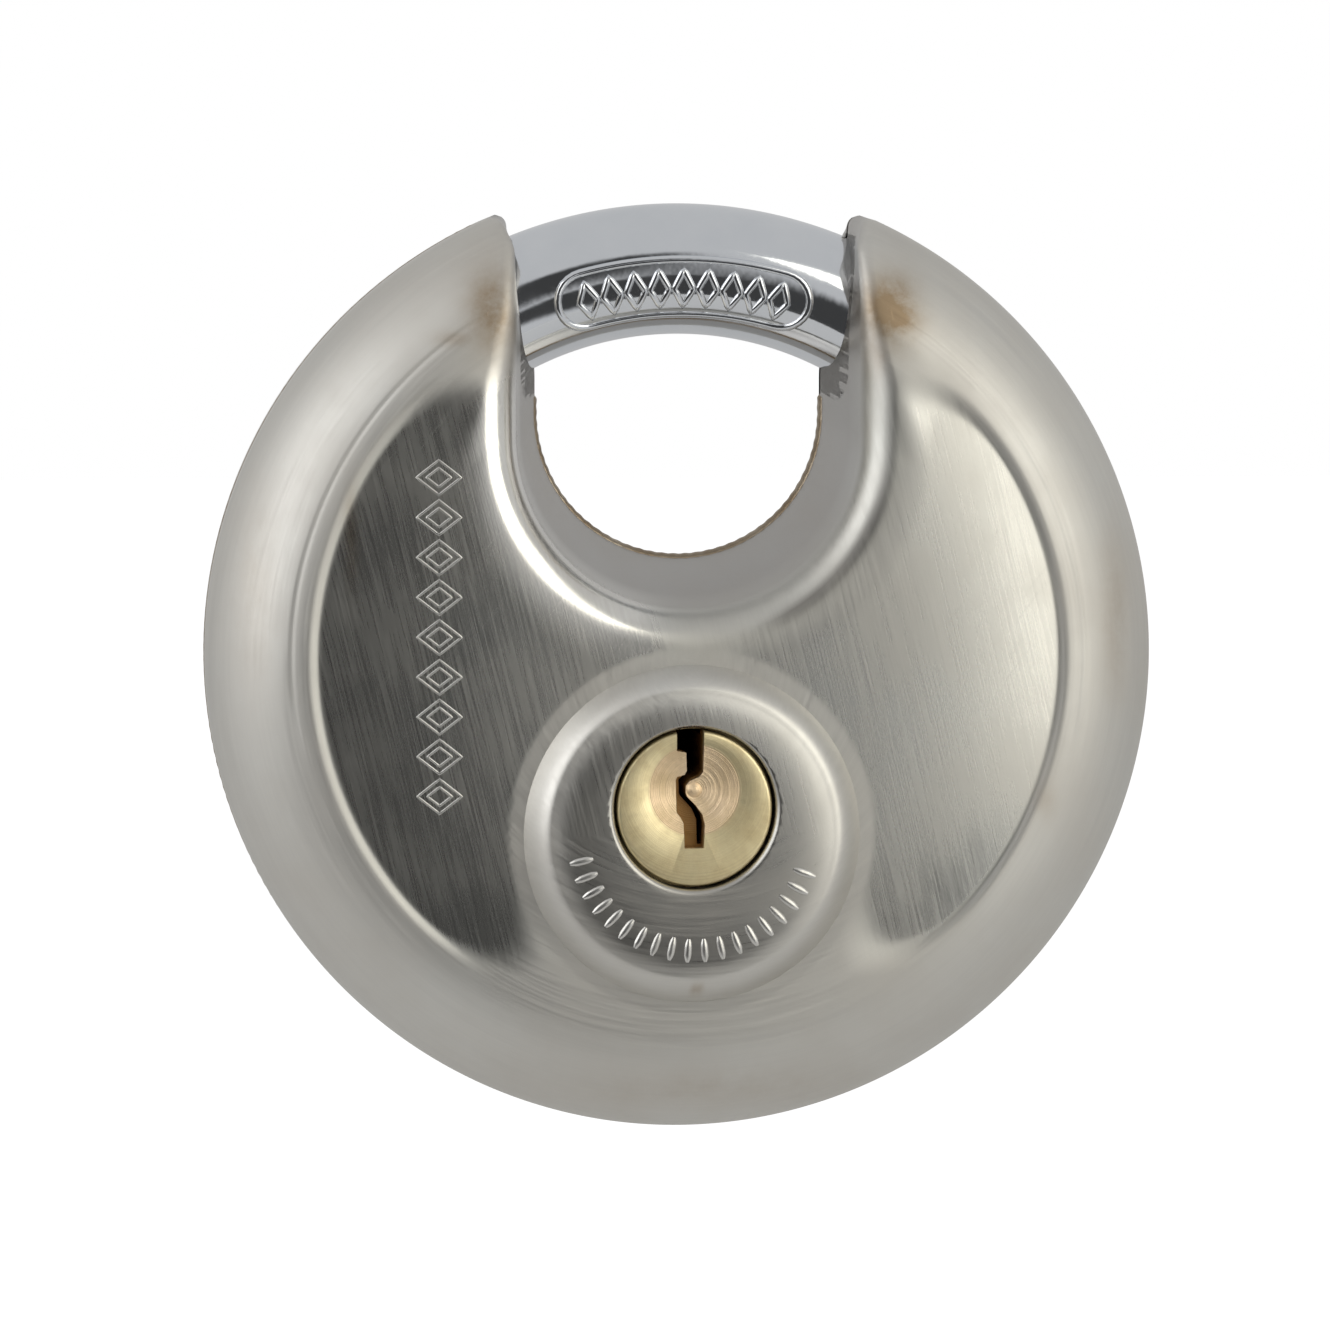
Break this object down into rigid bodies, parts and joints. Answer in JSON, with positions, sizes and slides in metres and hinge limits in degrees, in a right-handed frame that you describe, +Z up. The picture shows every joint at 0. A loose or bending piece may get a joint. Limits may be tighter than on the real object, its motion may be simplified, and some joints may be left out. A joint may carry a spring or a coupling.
{
  "type": "disc padlock",
  "caption": "Round stainless disc padlock whose ring-shaped shackle swings out of the case across a U-shaped throat, with a keyed brass plug low on the face.",
  "frame": {"origin": "middle of the exposed shackle bar, on the mid-plane of the case, where the closed lock hangs", "axes": "+X to the right and +Z up as seen from the keyhole side, -Y out of the keyhole face"},
  "size_m": [0.0702, 0.0248, 0.0683],
  "materials": {
    "stainless": "satin brushed stainless sheet",
    "weld": "brushed weld bead with heat tint",
    "chrome": "hardened steel, bright chrome plated",
    "brass": "turned brass",
    "hard_steel": "plain hardened steel",
    "zinc": "as-cast zinc alloy"
  },
  "bodies": {
    "case": {"front_shell": "stainless", "rear_shell": "stainless", "rim_weld": "weld", "throat_weld": "weld", "drill_shield": "hard_steel", "cylinder_housing": "brass", "chamber_cover": "brass", "pin_spring_1": "hard_steel", "pin_spring_2": "hard_steel", "pin_spring_3": "hard_steel", "pin_spring_4": "hard_steel", "guide_block": "zinc", "front_plate": "hard_steel", "rear_plate": "hard_steel", "plate_rivet_1": "hard_steel", "plate_rivet_2": "hard_steel", "plate_rivet_3": "hard_steel", "plate_rivet_4": "hard_steel", "housing_dowel_1": "hard_steel", "housing_dowel_2": "hard_steel", "closed_stop": "hard_steel", "open_stop": "hard_steel"},
    "shackle_bar": {"shackle": "chrome"},
    "plug_and_crank": {"plug": "brass", "drive_cam": "hard_steel", "drive_pin": "hard_steel", "cam_clip": "hard_steel"},
    "key_pin_1": {"key_pin_1": "brass"},
    "key_pin_2": {"key_pin_2": "brass"},
    "key_pin_3": {"key_pin_3": "brass"},
    "key_pin_4": {"key_pin_4": "brass"},
    "driver_pin_1": {"driver_pin_1": "hard_steel"},
    "driver_pin_2": {"driver_pin_2": "hard_steel"},
    "driver_pin_3": {"driver_pin_3": "hard_steel"},
    "driver_pin_4": {"driver_pin_4": "hard_steel"}
  },
  "joints": [
    {"name": "shackle_swing", "type": "hinge", "parent": "case", "child": "shackle_bar", "pos_m": [0, 0, -0.0283], "axis": [0, 1, 0], "range_deg": [0, 74]},
    {"name": "plug_turn", "type": "hinge", "parent": "case", "child": "plug_and_crank", "pos_m": [0, 0, -0.03895], "axis": [0, 1, 0], "range_deg": [0, 122.6]},
    {"name": "key_pin_1_lift", "type": "slide", "parent": "plug_and_crank", "child": "key_pin_1", "axis": [0, 0, 1], "range_m": [0, 0.0008]},
    {"name": "key_pin_2_lift", "type": "slide", "parent": "plug_and_crank", "child": "key_pin_2", "axis": [0, 0, 1], "range_m": [0, 0.0013]},
    {"name": "key_pin_3_lift", "type": "slide", "parent": "plug_and_crank", "child": "key_pin_3", "axis": [0, 0, 1], "range_m": [0, 0.0004]},
    {"name": "key_pin_4_lift", "type": "slide", "parent": "plug_and_crank", "child": "key_pin_4", "axis": [0, 0, 1], "range_m": [0, 0.001]},
    {"name": "driver_pin_1_press", "type": "slide", "parent": "case", "child": "driver_pin_1", "axis": [0, 0, 1], "range_m": [-0.0012, 0], "stiffness_N_per_m": 200, "springref_m": 0.002, "deforming": ["pin_spring_1"]},
    {"name": "driver_pin_2_press", "type": "slide", "parent": "case", "child": "driver_pin_2", "axis": [0, 0, 1], "range_m": [-0.0012, 0], "stiffness_N_per_m": 200, "springref_m": 0.002, "deforming": ["pin_spring_2"]},
    {"name": "driver_pin_3_press", "type": "slide", "parent": "case", "child": "driver_pin_3", "axis": [0, 0, 1], "range_m": [-0.0012, 0], "stiffness_N_per_m": 200, "springref_m": 0.002, "deforming": ["pin_spring_3"]},
    {"name": "driver_pin_4_press", "type": "slide", "parent": "case", "child": "driver_pin_4", "axis": [0, 0, 1], "range_m": [-0.0012, 0], "stiffness_N_per_m": 200, "springref_m": 0.002, "deforming": ["pin_spring_4"]}
  ],
  "couplings": [
    {"joint": "plug_turn", "follows": "shackle_swing", "ratio": 1.6556}
  ]
}
